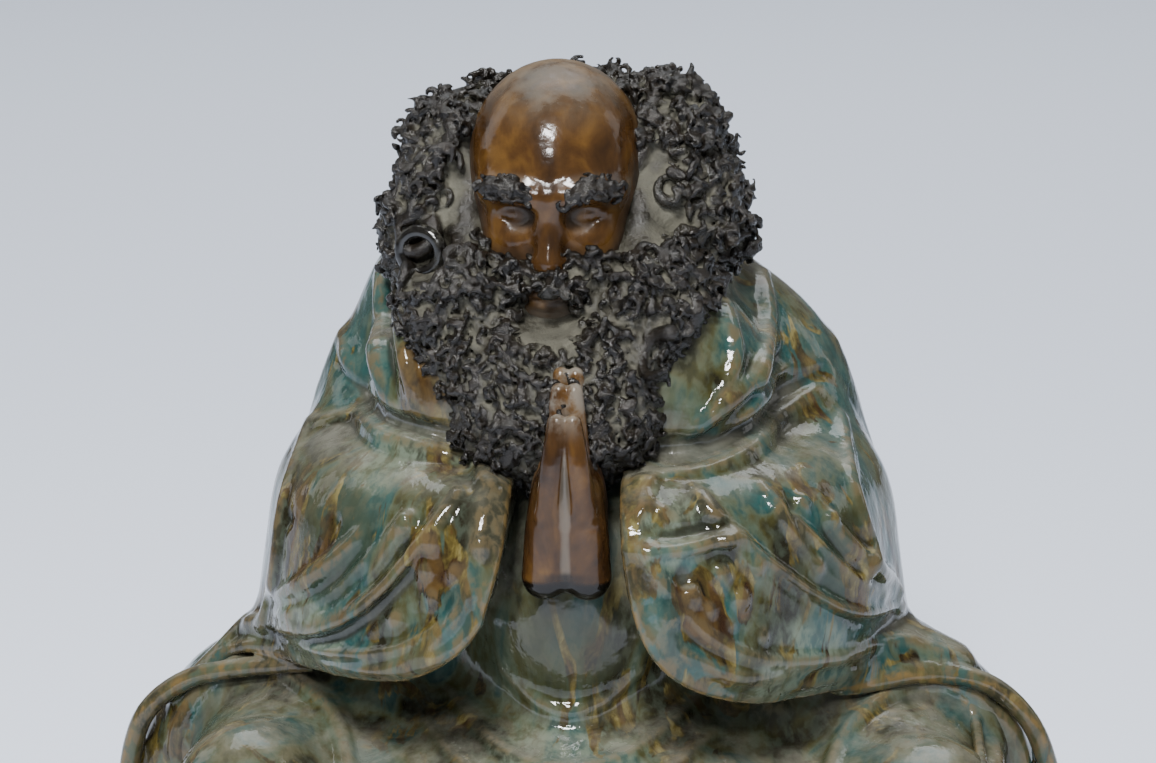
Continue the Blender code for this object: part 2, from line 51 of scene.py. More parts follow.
BASE_INSET = 0.0035
RING_DIAMETER = 0.0165
RING_ROD = 0.0043

SHARE = (HEIGHT - BASE_THICKNESS) / 100
FAR = 8.0
SLAB = 16
HANDS_AT_WORK = ThreadPoolExecutor(4)
LOW = (-60, -48, -5)
HIGH = (61, 36, 85)
SIDES = (-1, 1)

ROBE_CELL = 0.42
HEAD_CELL = 0.22
HAIR_CELL = 0.26
PIECE_TRIANGLES = 188000
HAND_CELL = 0.2

HEAD = (-2.4, -12, 86.1)
HEAD_SIZE = 0.87
HEAD_BOW = 14.0
SHOULDER_SHIFT = -0.8
HANDS = 0.3
RING = (-17.4, -18.6, 78.9)
KNEES = (-36.5, 41.0)
KNEE_HEIGHT = 14.5

TRUNK = (
    (-5, 43, -20, 31), (8, 43, -22, 31), (18, 40, -22, 30), (28, 36, -20, 28.5), (38, 33.5, -17, 26.5),
    (50, 31, -14, 24), (60, 27, -13, 21), (68, 22.5, -12, 17), (74, 16, -10, 13), (78, 10, -8, 10),
)
MANTLE = 2.4
MANTLE_BACK = -9.0
UPPER_ARM = ((14.5, 4, 68, 8.6), (21, 3, 61.5, 9), (24, 1, 54, 8.8), (25.5, -1, 48, 8.8), (26, -5, 45, 8.5))
FOREARM = ((28, -6), (25.5, -17), (17, -25.5), (9.5, -29))
SLEEVE = ((48.8, 7.0, 1.0), (44, 7.0, 1.02), (39, 7.0, 1.04), (35, 6.8, 1.05))
SLEEVE_SIDE = ((27.5, -3, 44, 8.5), (29.5, -5, 36, 8), (34, -7, 22, 8.5))
COLLAR = ((15, -9, 73, 2.2), (15.5, 3, 77, 2.2), (8.5, 12, 79.5, 2.2), (0, 14, 80, 2.2))
HEMS = (
    (
        (-5.6, 62), (-5.8, 56), (-6.2, 51), (-7.2, 46), (-9, 41), (-12, 37), (-17, 33.5), (-24, 31.5),
        (-33, 29.5), (-41, 27.5), (-46, 20), (-47, -9),
    ),
    (
        (5.6, 62), (5.8, 57), (6.4, 50), (7.4, 44), (9.5, 38.5), (13.5, 34), (19, 31), (25, 29),
        (33, 28), (41, 28), (47, 21), (48, -9),
    ),
)
LOBE_HEMS = (
    (
        (-27, -21, 28.4, 0.5), (-32, -18.4, 28.2, 1.1), (-40, -14, 26.6, 1.7), (-47, -13, 24.8, 1.8),
        (-52.3, -13, 20.5, 1.8), (-54.8, -12, 13.5, 1.8), (-55, -11, 7, 1.8), (-54, -10, 3, 1.8),
    ),
    (
        (28, -22, 27.6, 0.5), (33, -19.4, 27.4, 1.1), (41, -15, 28.2, 1.7), (48.5, -14, 27, 1.8),
        (54, -14, 22, 1.8), (56.8, -13, 14, 1.8), (57, -12, 7, 1.8), (56, -11, 3, 1.8),
    ),
)
LOBE_SKIN = ((4.5, 4.2, 4.5), (10, 7, 5.5), (17, 12, 7), (24, 18, 8))
LOBE_FALL = 0.8

# Folds across each sleeve: points of (across, up) on the front, rod, and proud or sunk
SLEEVE_FOLDS = (
    (
        (((12, 54.5), (15.5, 49), (20.5, 42.5), (28, 36.5), (40, 31.5)), 1.4, 1.3),
        (((17.5, 51.5), (21.5, 46), (27, 40), (37, 34)), 1.4, 1.2),
        (((23, 49), (28, 43.5), (35, 37.5)), 1.3, 1.0),
        (((10, 45), (14, 39.5), (21, 35.5), (31, 33)), 1.2, 0.9),
        (((8.3, 42), (12.5, 37.8), (19.5, 34.6), (29, 32.3)), 0.9, 0.7),
        (((14.5, 50), (18.5, 43.5), (25.5, 37), (36, 32)), 0.9, -0.9),
        (((20.5, 49), (25, 43), (32, 37)), 0.9, -0.9),
        (((11.5, 44), (16, 38.5), (24, 34.3), (33, 31.8)), 0.8, -0.6),
        (((31, 62), (24, 60), (15, 59), (8, 58)), 1.6, -0.9),
        (((35, 54.5), (24, 57.6), (13.4, 57), (7, 55.3)), 1.4, 0.8),
        (((25, 76), (23.5, 69), (22, 63)), 1.3, 1.0),
        (((20.5, 75), (19, 69), (17.5, 62)), 1.2, 1.1),
        (((23, 74), (21.5, 68), (20, 62)), 0.9, -0.7),
        (((33, 56), (34, 48), (35, 40), (38, 32)), 1.5, 0.9),
        (((30, 66), (28, 62), (23, 59.5)), 1.2, 0.8),
    ),
    (
        (((15, 54.5), (20.5, 48), (30, 39.5), (40, 34), (46, 31.5)), 1.4, 1.3),
        (((21.7, 54.5), (26.5, 48.6), (33.5, 40.5), (42.5, 33.5)), 1.4, 1.2),
        (((10, 48), (14.5, 41.5), (21, 36.5), (31, 33.4), (40, 32)), 1.2, 0.9),
        (((28, 52), (31.5, 46.5), (37, 39.5)), 1.3, 1.0),
        (((18, 52), (24, 45), (32, 38), (41, 33)), 0.9, -0.9),
        (((25, 52.5), (29.5, 46), (36, 38.5)), 0.9, -0.8),
        (((7, 49.5), (13, 49.3), (17, 50), (20, 50.3)), 0.9, 0.9),
        (((8, 51.5), (13, 51.2), (18, 52)), 0.9, -0.5),
        (((29, 62), (21.5, 60), (13, 58.2), (8, 58)), 1.6, -0.9),
        (((28, 60), (21.7, 57.2), (15, 56), (8, 56)), 1.3, 0.8),
        (((23, 66.5), (17.5, 63), (13.5, 59.5)), 1.2, 1.1),
        (((24.5, 63.5), (19.5, 61.3), (15, 59)), 0.9, 0.8),
        (((21, 75), (22, 69), (21, 63)), 1.3, 1.0),
        (((17.5, 73), (18.5, 68), (17, 63.5)), 1.1, 0.9),
        (((31, 57), (33, 49), (36, 41), (41, 33)), 1.4, 0.9),
        (((14, 38), (20, 34.6), (27, 33)), 1.1, 0.8),
    ),
)
SLEEVE_RELIEF = 1.35

# Drips, lumps and pits in the glaze: (across, up) on the front, size, and proud or sunk
GLAZE_LUMPS = (
    (-17.7, 51, 1.3, 0.5), (-14.7, 49.2, 1.1, 0.6), (-15.2, 46.2, 1.2, 0.5), (-14.2, 43.4, 1.0, 0.5),
    (-9.0, 49.6, 1.1, 0.5), (-11.8, 46.5, 1.0, 0.4), (-18.6, 40.3, 1.1, 0.4), (-26.5, 49.4, 1.1, -0.5),
    (-33.0, 47.4, 1.0, -0.5), (9.7, 52.7, 1.2, -0.6), (11.0, 53.2, 0.7, 0.4), (14.2, 44.0, 1.4, 0.7),
    (16.0, 42.4, 1.1, 0.7), (17.5, 46.2, 1.3, 0.6), (19.7, 43.2, 1.2, 0.6), (12.2, 42.2, 1.2, 0.5),
    (18.4, 40.6, 0.9, 0.5), (22.0, 38.6, 1.1, 0.4), (13.4, 46.6, 1.1, -0.5), (21.5, 46.8, 1.0, 0.4),
    (28.0, 45.0, 1.1, 0.4), (26.5, 52.0, 1.2, 0.5), (30.0, 50.0, 1.0, 0.4), (34.0, 43.0, 1.2, 0.5),
)
CHEST_FOLDS = (
    (((16.5, 75), (14, 67), (10.3, 60.8), (5, 57)), 1.2, 1.3),
    (((19.5, 75), (17.3, 70), (15.6, 63), (14.5, 58.5)), 1.1, 1.1),
    (((18.5, 74), (15.8, 67), (12.8, 61)), 0.8, -0.7),
)
# Rings of cloth round a knee: radius, rod, proud, and the degrees where each begins and ends
KNEE_FOLDS = ((12.5, 1.5, 1.3, -20, 175), (6.0, 1.2, 0.5, 10, 200))
# Swags across the lap: height at their ends, half width and drop
LAP_FOLDS = (
    (31, 8, 4), (26.5, 15, 4.5), (24, 17, 4.8), (21.5, 19, 5), (18.5, 22, 5), (15.5, 24, 5), (9, 30, 4.5),
)
LAP_ROD = 1.0
# Folds down the back: where each starts and ends across it, and its bow
BACK_FOLDS = ((-16, -36, -4), (-9, -21, -3), (-3, -5, 2), (5, 12, 2), (11, 27, 4), (17, 38, 3))
BACK_FOLD_TOP = 72
BACK_FOLD_FOOT = 6
FLANK_FOLDS = ((6, 2.2), (15, 2.6), (23, 2.2))

# Locks of the hair: spacing, size, rod and how far their tips lift
SIDE_LOCKS = ((2.1, 1.9, 1.15, 0.7), (1.2, 1.0, 0.55, 0.6), (0.85, 0.5, 0.38, 0.5))
BEARD_LOCKS = ((2.1, 1.4, 1.05, 0.3), (1.1, 0.8, 0.5, 0.4), (0.8, 0.45, 0.35, 0.4))
BEARD_CURL = (10.5, 72)
BROW_LOCKS = ((1.0, 0.55, 0.36, 0.4),)


def smooth_min(a, b, soft):
    """The union of two fields, with a fillet about soft wide where they meet."""
    if soft <= 0:
        return np.minimum(a, b)
    mix = np.clip(0.5 + 0.5 * (b - a) / soft, 0, 1)
    return b + (a - b) * mix - soft * mix * (1 - mix)


def smooth_cut(a, b, soft):
    """Field a with b taken away."""
    return -smooth_min(-a, b, soft)


def ramp(value, low, high):
    """Rises smoothly from 0 at low to 1 at high."""
    t = np.clip((value - low) / (high - low), 0, 1)
    return t * t * (3 - 2 * t)


def curve_through(points, steps=5):
    """A smooth curve through points of any number of coordinates."""
    p = np.array(points, float)
    if len(p) < 3:
        return p
    ends = np.vstack([2 * p[0] - p[1], p, 2 * p[-1] - p[-2]])
    t = np.linspace(0, 1, steps, endpoint=False)[:, None]
    runs = []
    for a, b, c, d in zip(ends, ends[1:], ends[2:], ends[3:]):
        cubic = (2 * a - 5 * b + 4 * c - d) * t**2 + (3 * b - a - 3 * c + d) * t**3
        runs.append(0.5 * (2 * b + (c - a) * t + cubic))
    return np.vstack([*runs, p[-1:]])


def mirrored(points, side):
    """The points with their x on the given side."""
    return [(side * x, *rest) for x, *rest in points]


class Ball:
    """An ellipsoid, turned by tilt degrees about X."""

    def __init__(self, centre, radii, tilt=0.0):
        self.centre, self.radii = np.array(centre, float), np.array(radii, float)
        a = math.radians(tilt)
        self.turn = np.array([[1, 0, 0], [0, math.cos(a), -math.sin(a)], [0, math.sin(a), math.cos(a)]])
        reach = np.sqrt((self.turn**2) @ (self.radii**2))
        self.low, self.high = self.centre - reach, self.centre + reach

    def distance(self, x, y, z):
        x, y, z = x - self.centre[0], y - self.centre[1], z - self.centre[2]
        own = [x * self.turn[0, i] + y * self.turn[1, i] + z * self.turn[2, i] for i in range(3)]
        near = np.sqrt(sum((c / r) ** 2 for c, r in zip(own, self.radii)))
        steep = np.sqrt(sum((c / r**2) ** 2 for c, r in zip(own, self.radii)))
        return near * (near - 1) / np.maximum(steep, 1e-6)


class Roll:
    """A rolled length of clay along points of (x, y, z, rod), where rod is its radius."""

    def __init__(self, points, steps=5):
        self.path = curve_through(points, steps).astype(np.float32)
        rod = self.path[:, 3:]
        self.low = (self.path[:, :3] - rod).min(0)
        self.high = (self.path[:, :3] + rod).max(0)

    def distance(self, x, y, z):
        nearest = np.float32(FAR)
        for a, b in zip(self.path, self.path[1:]):
            way = b - a
            span = max(way[:3] @ way[:3], np.float32(1e-9))
            ahead = (x - a[0]) * way[0] + (y - a[1]) * way[1] + (z - a[2]) * way[2]
            apart = (x - a[0]) ** 2 + (y - a[1]) ** 2 + (z - a[2]) ** 2
            along = np.clip(ahead / span, 0, 1)
            apart += along * (along * span - 2 * ahead)
            gap = np.sqrt(np.maximum(apart, 0, out=apart), out=apart)
            gap -= a[3] + along * way[3]
            nearest = np.minimum(nearest, gap)
        return nearest


class Loft:
    """Stacked ellipses, each given by its height, half width, front y and back y."""

    def __init__(self, rings):
        self.rings = curve_through(rings)
        z, wide, front, back = self.rings.T
        self.low = np.array([-wide.max(), front.min(), z[0]])
        self.high = np.array([wide.max(), back.max(), z[-1]])

    def distance(self, x, y, z):
        levels, *columns = self.rings.T
        wide, front, back = [np.interp(z, levels, column).astype(np.float32) for column in columns]
        deep = (back - front) / 2
        y = y - (front + back) / 2
        near = np.sqrt((x / wide) ** 2 + (y / deep) ** 2)
        steep = np.sqrt((x / wide**2) ** 2 + (y / deep**2) ** 2)
        side = near * (near - 1) / np.maximum(steep, 1e-6)
        return np.maximum(side, np.maximum(levels[0] - z, z - levels[-1]))


class FrontOutline:
    """Everything in front of back whose (x, z) lies inside the outline."""

    def __init__(self, outline, back):
        self.outline, self.back = np.array(outline, float), back
        low, high = self.outline.min(0), self.outline.max(0)
        self.low = np.array([low[0], LOW[1], low[1]])
        self.high = np.array([high[0], back, high[1]])

    def distance(self, x, y, z):
        nearest, inside = np.float32(np.inf), False
        for a, b in zip(self.outline, np.roll(self.outline, -1, 0)):
            way = b - a
            along = np.clip(((x - a[0]) * way[0] + (z - a[1]) * way[1]) / (way @ way), 0, 1)
            nearest = np.minimum(nearest, np.hypot(x - a[0] - along * way[0], z - a[1] - along * way[1]))
            if a[1] != b[1]:
                level = (z > min(a[1], b[1])) & (z <= max(a[1], b[1]))
                inside = inside ^ (level & (x < a[0] + (z - a[1]) * way[0] / way[1]))
        flat = np.where(inside, -nearest, nearest).astype(np.float32)
        return np.maximum(flat, y - self.back)


class Clay:
    """A block of clay: a grid of distances to its surface, negative inside."""

    def __init__(self, low, high, cell, reach=2.0):
        self.cell, self.reach = cell, reach
        self.axes = [np.arange(a, b + cell, cell).astype(np.float32) for a, b in zip(low, high)]
        self.field = np.full([len(a) for a in self.axes], FAR, np.float32)

    def window(self, low, high):
        """The cells between two corners, and their coordinates."""
        spans = [np.searchsorted(axis, ends) for axis, *ends in zip(self.axes, low, high)]
        cuts = tuple(slice(*span) for span in spans)
        return cuts, np.ix_(*[axis[cut] for axis, cut in zip(self.axes, cuts)])

    def work(self, shape, soft, how):
        reach = max(soft, self.reach) + 2 * self.cell
        (first, *others), (x, y, z) = self.window(shape.low - reach, shape.high + reach)

        def press(begin):
            part = self.field[(slice(begin, min(begin + SLAB, first.stop)), *others)]
            if part.size:
                start = begin - first.start
                part[...] = np.minimum(how(part, shape.distance(x[start : start + SLAB], y, z), soft), FAR)

        list(HANDS_AT_WORK.map(press, range(first.start, first.stop, SLAB)))

    def add(self, shape, soft=0.0):
        self.work(shape, soft, smooth_min)

    def cut(self, shape, soft=0.0):
        self.work(shape, soft, smooth_cut)

    def join(self, other, soft):
        """Presses another block, which may be of finer clay, onto this one."""
        cuts, grid = self.window([a[0] for a in other.axes], [a[-1] for a in other.axes])
        field = other.field
        for axis in range(3):
            at = (grid[axis] - other.axes[axis][0]) / other.cell
            low = np.minimum(at.astype(int), field.shape[axis] - 2)
            part = (at - low).astype(np.float32)
            near, far = np.take(field, low.ravel(), axis), np.take(field, low.ravel() + 1, axis)
            field = near + (far - near) * part
        self.field[cuts] = smooth_min(self.field[cuts], field, soft)

    def sample(self, points, field=None):
        """The field, or another over the same cells, at points read between the cells."""
        field = self.field if field is None else field
        at = [(points[:, i] - self.axes[i][0]) / self.cell for i in range(3)]
        at = [np.clip(c, 0, n - 1.001) for c, n in zip(at, self.field.shape)]
        low = [c.astype(int) for c in at]
        total = 0
        for corner in np.ndindex(2, 2, 2):
            share = 1
            for step, c, i in zip(corner, at, low):
                share = share * (c - i if step else 1 - c + i)
            total = total + share * field[tuple(i + step for i, step in zip(low, corner))]
        return total

    def slope(self, points):
        """The outward direction of the surface at points."""
        steps = self.cell * np.eye(3)
        rise = np.stack([self.sample(points + s) - self.sample(points - s) for s in steps], 1)
        return rise / np.maximum(np.linalg.norm(rise, axis=1, keepdims=True), 1e-9)

    def settle(self, points, azimuth=0.0):
        """Where level sight lines at (across, up), as seen from that azimuth, meet the clay."""
        a = math.radians(azimuth)
        across = np.array([math.cos(a), math.sin(a), 0])
        inward = np.array([-math.sin(a), math.cos(a), 0])
        steps = np.arange(-HIGH[0], HIGH[0], 0.5 * self.cell)[:, None] * inward
        met = []
        for s, z in points:
            line = across * s + np.array([0, 0, z]) + steps
            inside = np.flatnonzero(self.sample(line) < 0)
            if len(inside):
                met.append(line[inside[0]])
        return np.array(met)

    def soften(self):
        """Evens out what is finer than the cells."""
        for axis in range(3):
            self.field = (np.roll(self.field, 1, axis) + 2 * self.field + np.roll(self.field, -1, axis)) / 4

    def fold(self, points, rod, proud, soft, azimuth=0.0):
        """Lays a tapered roll on the surface, standing that much proud of it, or scores a groove."""
        met = self.settle(curve_through(points, 6), azimuth)
        swell = np.sin(np.pi * np.linspace(0.12, 0.88, len(met)))
        rods = rod * (0.45 + 0.55 * swell)
        sink = (rods - abs(proud) * swell)[:, None] * self.slope(met)
        if proud > 0:
            self.add(Roll(np.column_stack([met - sink, rods]), 1), soft)
        else:
            self.cut(Roll(np.column_stack([met + sink, rods]), 1), soft)

    def places(self, gap, seed):
        """Places on the surface spaced at least gap apart, in a seeded random order."""
        near = np.argwhere(np.abs(self.field) < 0.5 * self.cell)
        points = near * self.cell + np.array([a[0] for a in self.axes])
        points = points[np.random.default_rng(seed).permutation(len(points))]
        chosen = []
        while len(points):
            chosen.append(points[0].copy())
            points = points[((points - points[0]) ** 2).sum(1) > gap * gap]
        return np.array(chosen)

    def crumble(self, depth, grain, seed):
        """Roughens the surface by up to depth, in lumps about grain wide."""
        chance = np.random.default_rng(seed)
        counts = [int((axis[-1] - axis[0]) / grain) + 3 for axis in self.axes]
        lumps = chance.uniform(-1, 1, counts).astype(np.float32)
        for i, axis in enumerate(self.axes):
            at = (axis - axis[0]) / grain
            low = at.astype(int)
            part = ramp(at - low, 0, 1).reshape([-1 if i == j else 1 for j in range(3)])
            lumps = np.take(lumps, low, i) * (1 - part) + np.take(lumps, low + 1, i) * part
        self.field += depth * lumps

    def fullness(self, radius):
        """How much of the neighbourhood of each cell is clay: half on a flat, more in a hollow."""
        full = np.clip(0.5 - self.field / self.cell, 0, 1)
        reach = max(1, round(radius / self.cell))
        for _ in range(2):
            for axis in range(3):
                ends = [(0, 0)] * 3
                ends[axis] = (reach + 1, reach)
                total = np.cumsum(np.pad(full, ends, mode="edge"), axis, dtype=np.float32)
                count = full.shape[axis]
                high = np.take(total, np.arange(2 * reach + 1, 2 * reach + 1 + count), axis)
                low = np.take(total, np.arange(0, count), axis)
                full = (high - low) / (2 * reach + 1)
        return full


# The robed body


def model_body():
    """Trunk, lap and crossed legs."""
    clay = Clay(LOW, HIGH, ROBE_CELL)
    clay.add(Loft(TRUNK))
    clay.add(Ball((0, -10, 38), (14, 19, 20)), 6)
    for side, knee, hem in zip(SIDES, KNEES, LOBE_HEMS):
        clay.add(Ball((side * 12 + SHOULDER_SHIFT, -14, 62), (9, 9, 11)), 5)
        clay.add(Ball((side * 38, -2, 12), (13, 13, 13)), 4)
        for back, drawn_in, rod in LOBE_SKIN:
            skin = [(x - side * drawn_in, y + back, z - LOBE_FALL * drawn_in, rod) for x, y, z, _ in hem]
            clay.add(Roll(skin, 3), 3)
        thigh = [(side * 12, 8, 11, 13), (side * 27, -8, 12, 13), (0.93 * knee, -19, 12, 13)]
        shin = [(0.9 * knee, -26, 9, 11), (side * 20, -30, 8, 11), (0, -31, 8, 10)]
        clay.add(Roll(thigh), 5)
        clay.add(Roll(shin), 5)
        clay.add(Ball((knee, -28, KNEE_HEIGHT), (10, 9.5, 10.5)), 1.5)
    clay.add(Ball((0, -16, 15), (30, 20, 12)), 6)
    clay.add(Ball((0, -12, 4), (38, 22, 10)), 4)
    return clay


def lay_body_folds(clay):
    for side in SIDES:
        for points, rod, proud in CHEST_FOLDS:
            clay.fold(mirrored(points, side), rod, proud, 0.7)
    for side, knee in zip(SIDES, KNEES):
        for reach, rod, proud, begin, end in KNEE_FOLDS:
            turn = np.radians(np.linspace(begin, end, 7))
            ring = np.column_stack([knee + side * reach * np.cos(turn), KNEE_HEIGHT + reach * np.sin(turn)])
            clay.fold(ring, rod, proud, 0.8)
    for height, wide, drop in LAP_FOLDS:
        across = wide * np.linspace(-1, 1, 5)
        swag = np.column_stack([across, height - drop * np.cos(0.5 * np.pi * across / wide)])
        clay.fold(swag, LAP_ROD, 0.8, 0.8)


def hem_line(side, hem, out):
    """The edge of the parting, moved out onto the cloth by that much."""
    edge = curve_through(hem, 4)
    way = np.gradient(edge, axis=0)
    way /= np.linalg.norm(way, axis=1, keepdims=True)
    return edge + out * side * np.column_stack([-way[:, 1], way[:, 0]])


def model_mantle(body):
    """The outer robe: a layer over the body, with its sleeves, collar and rolled hem."""
    clay = Clay(LOW, HIGH, ROBE_CELL)
    y, z = clay.axes[1][None, :, None], clay.axes[2][None, None, :]
    layer = np.maximum(ramp(y, MANTLE_BACK, MANTLE_BACK + 12), ramp(z, 26, 31))
    clay.field = body.field - MANTLE * layer
    for side in SIDES:
        shoulder = (side * UPPER_ARM[0][0] + 2 * SHOULDER_SHIFT, *UPPER_ARM[0][1:])
        clay.add(Roll([shoulder, *mirrored(UPPER_ARM[1:], side)]), 4)
        for height, rod, spread in SLEEVE:
            clay.add(Roll([(side * x * spread, y * spread, height, rod) for x, y in FOREARM]), 5)
        clay.add(Roll(mirrored(SLEEVE_SIDE, side)), 5)
    clay.add(Ball((-18, 2, 69.5), (8, 10, 8.5)), 4)
    for side, hem, lobe_hem in zip(SIDES, HEMS, LOBE_HEMS):
        edge = hem_line(side, hem, 0)
        parting = np.vstack([edge, (0, edge[-1, 1]), (0, edge[0, 1])])
        clay.cut(FrontOutline(parting, MANTLE_BACK), 0.7)
        clay.fold(hem_line(side, hem, 2.7), 1.8, 1.0, 1.0)
        clay.fold(hem_line(side, hem, 0.8), 1.0, 0.8, 0.4)
        clay.add(Roll([(x, y, z, rod - 0.55) for x, y, z, rod in lobe_hem]), 1.4)
    clay.add(Roll([*mirrored(COLLAR, -1), *COLLAR[-2::-1]]), 2)
    return clay


def lay_mantle_folds(clay):
    for side, folds in zip(SIDES, SLEEVE_FOLDS):
        for points, rod, proud in folds:
            clay.fold(mirrored(points, side), rod, SLEEVE_RELIEF * proud, 0.7)
        for back, rod in FLANK_FOLDS:
            points = [(side * part * back, z) for part, z in ((0.35, 64), (0.7, 44), (0.9, 26), (1, 8))]
            clay.fold(points, rod, 0.9, 1.8, 90 * side)
    for across, up, size, proud in GLAZE_LUMPS:
        (met,) = clay.settle([(across, up)])
        (out,) = clay.slope(met[None])
        if proud > 0:
            clay.add(Ball(met - (0.6 * size - proud) * out, (size, 0.8 * size, 1.3 * size)), 0.5)
        else:
            clay.cut(Ball(met + (size + proud) * out, (size, size, 1.3 * size)), 0.5)
    for top, foot, bow in BACK_FOLDS:
        t = np.linspace(0, 1, 5)
        across = top + (foot - top) * t + bow * np.sin(np.pi * t)
        up = BACK_FOLD_TOP + (BACK_FOLD_FOOT - BACK_FOLD_TOP) * t
        clay.fold(np.column_stack([across, up]), 2.4, 0.9, 2.0, 180)


# The head, set out from its middle in shares of its own: across, forward and up


def head_point(across, forward, up):
    a = math.radians(HEAD_BOW)
    y = -forward * math.cos(a) - up * math.sin(a)
    z = -forward * math.sin(a) + up * math.cos(a)
    return np.array(HEAD) + HEAD_SIZE * np.array([across, y, z])


def head_ball(across, forward, up, wide, deep, tall):
    return Ball(head_point(across, forward, up), HEAD_SIZE * np.array([wide, deep, tall]), HEAD_BOW)


def head_roll(*points):
    return Roll([(*head_point(across, forward, up), HEAD_SIZE * rod) for across, forward, up, rod in points])


def model_head():
    """The skull and a calm, even face with closed eyes: eyes halfway up, nose and mouth by thirds."""
    clay = Clay((-18, -33, 62), (13, 8, 101), HEAD_CELL)
    clay.add(head_ball(0, -1.5, 3.2, 11.6, 13.6, 12.4))
    clay.add(head_ball(0, 4.6, -4.5, 8.8, 8.2, 11.5), 5)
    clay.add(head_roll((-3.0, 11.6, 2.9, 1.2), (0, 12.1, 2.6, 1.0), (3.0, 11.6, 2.9, 1.2)), 2)
    for side in SIDES:
        clay.add(head_ball(side * 4.9, 9.0, -4.8, 3.2, 3.2, 3.0), 3)
        brow_bone = [(2.0, 11.9, 3.0, 1.2), (5.0, 11.4, 3.7, 1.4), (8.6, 8.4, 2.6, 1.0)]
        clay.add(head_roll(*mirrored(brow_bone, side)), 2)
        clay.cut(head_ball(side * 4.5, 12.9, 0.2, 2.7, 2.0, 1.7), 1.6)
        clay.add(head_ball(side * 4.5, 9.9, 0.0, 2.25, 1.7, 1.75), 0.5)
        clay.add(head_ball(side * 1.7, 13.6, -5.6, 1.15, 1.4, 1.0), 0.8)
    clay.add(head_roll((0, 11.2, 2.0, 1.3), (0, 13.2, -1.5, 1.35), (0, 14.9, -4.9, 1.7)), 1.6)
    clay.add(head_ball(0, 11.4, -10.8, 6.2, 4.4, 4.4), 2)
    clay.add(head_ball(0, 15.3, -9.2, 2.9, 0.9, 0.8), 0.5)
    clay.add(head_ball(0, 15.2, -10.6, 2.5, 1.0, 0.9), 0.5)
    for side in SIDES:
        lids = [
            (2.6, 11.3, -0.35, 0.14), (3.5, 11.6, -0.8, 0.2),
            (4.7, 11.6, -0.95, 0.2), (6.3, 10.8, -0.45, 0.14),
        ]
        clay.cut(head_roll(*mirrored(lids, side)), 0.2)
        clay.cut(head_ball(side * 0.85, 15.0, -6.6, 0.42, 0.6, 0.35), 0.2)
    clay.cut(head_roll((-2.5, 15.3, -9.9, 0.15), (0, 16.2, -9.85, 0.2), (2.5, 15.3, -9.9, 0.15)), 0.15)
    clay.add(Roll([(HEAD[0], -4, 66, 8), (HEAD[0], -6, 80, 7.5)]), 3)
    for x, y, z, size in ((-2.4, -12, 97.4, 0.36), (-8.6, -12.5, 95.9, 0.3), (3.4, -11, 96.4, 0.34)):
        clay.add(Ball((x, y, z), (size, size, 1.6 * size)), 0.3)
    return clay


def model_side_hair(side):
    """The hair of one side before it is curled, from the temple round to the back of the head."""
    middle = HEAD[0]
    if side < 0:
        clay = Clay((-24, -26, 64), (8, 16, 98), HAIR_CELL, 0.7)
        clay.add(Ball((-13.7, -6.5, 87), (4.3, 8.5, 6.0)))
        clay.add(Ball((-15.6, -8.5, 81), (4.8, 8.5, 6.5)), 3)
    else:
        clay = Clay((-13, -26, 64), (22, 16, 100), HAIR_CELL, 0.7)
        clay.add(Ball((9.6, -6, 89.5), (4.8, 8.5, 6.2)))
        clay.add(Ball((11.8, -8, 82.5), (5.4, 8.5, 7.2)), 3)
    clay.add(Ball((middle + side * 9.8, -11, 81), (3.2, 7.5, 7)), 3)
    clay.add(Ball((middle + side * 4, 3, 84), (10, 7, 10)), 3)
    return clay


def model_beard():
    """The beard and the moustache before they are curled, open round the mouth."""
    clay = Clay((-24, -40, 51), (20, -4, 86), HAIR_CELL, 0.7)
    middle = HEAD[0]
    for side in SIDES:
        clay.add(Ball((middle + side * 11, -17, 74), (6, 8, 7)), 3)
        clay.add(Ball((middle + side * 9.8, -11, 81), (3.2, 7.5, 7)), 3)
    clay.add(Ball((middle, -18.7, 67.5), (13.5, 9.5, 8)), 4)
    clay.add(Ball((middle + 1, -24.5, 62), (10, 7, 7)), 4)
    for side in SIDES:
        wing = [(0.4, 15.2, -7.2, 1.0), (4, 14.4, -7.6, 1.7), (7.4, 12, -10.5, 2.1), (8.5, 11.5, -15, 2.6)]
        clay.add(head_roll(*mirrored(wing, side)), 1.2)
    clay.cut(head_ball(0, 18, -10.6, 4.2, 6, 2.4), 0.8)
    return clay


def model_brows():
    clay = Clay((-14, -31, 82), (9, -16, 96), 0.8 * HAIR_CELL, 0.7)
    for side in SIDES:
        brow = [(2.6, 12.9, 3.4, 1.0), (5.0, 12.6, 4.4, 1.4), (8.0, 10.2, 3.6, 1.1)]
        clay.add(head_roll(*mirrored(brow, side)))
    return clay


def lock(place, outward, heading, size, rod, turn, lift):
    """A lock that lies on the surface, bends round through turn degrees, thins and lifts its tip."""
    ahead = np.cross(outward, (math.cos(heading), math.sin(heading), 0.3))
    ahead /= np.linalg.norm(ahead)
    aside = np.cross(outward, ahead)
    t = np.linspace(0, 1, 5)[:, None]
    a = np.radians(turn) * t
    rise = 0.25 * np.sin(np.pi * t) + lift * t * t
    swing = (np.sin(a) - 0.6) * ahead + (1 - np.cos(a)) * aside + rise * outward
    return Roll(np.hstack([place + size * swing, rod * (1 - 0.6 * t)]), 2)


